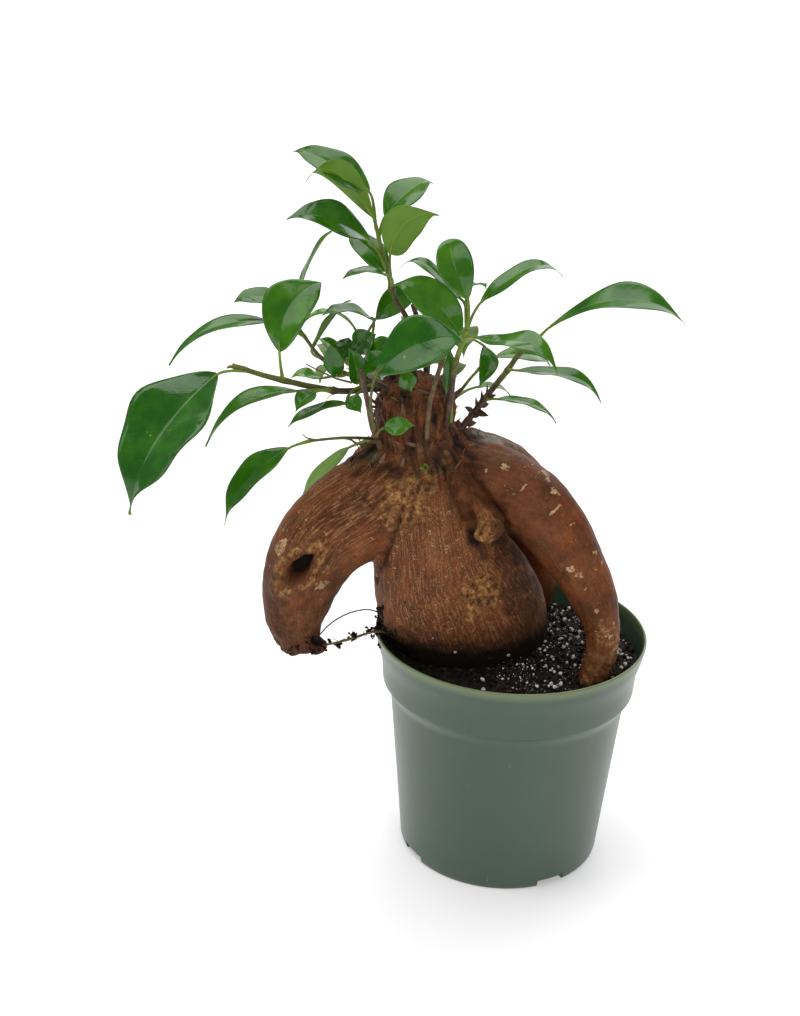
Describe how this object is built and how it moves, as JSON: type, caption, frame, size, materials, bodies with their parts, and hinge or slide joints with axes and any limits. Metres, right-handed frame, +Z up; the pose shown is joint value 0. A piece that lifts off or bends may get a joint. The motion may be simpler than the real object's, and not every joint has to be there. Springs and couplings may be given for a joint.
{
  "type": "potted ginseng ficus",
  "caption": "Small ginseng ficus with swollen arching roots and glossy oval leaves, standing in soil in a round tapered nursery pot.",
  "frame": {"origin": "centre of the pot's flat underside, where it stands", "axes": "+Z up, -Y towards the viewer of the picture, +X to the viewer's right"},
  "size_m": [0.2085, 0.1274, 0.2897],
  "materials": {
    "pot": "satin",
    "peat": "matte",
    "bark": "matte",
    "leaf": "gloss",
    "twig": "satin"
  },
  "bodies": {
    "root": {"pot": "pot", "soil": "peat", "caudex": "bark", "shoot_tall": "leaf", "shoot_right": "leaf", "shoot_far_right": "leaf", "shoot_bud": "twig", "shoot_left": "leaf", "shoot_inner_left": "leaf", "shoot_low_left": "leaf", "shoot_cut_stub": "twig", "shoot_centre": "leaf", "shoot_pale": "leaf", "shoot_cluster": "leaf", "shoot_back": "leaf", "shoot_rear_left": "leaf"}
  },
  "joints": []
}
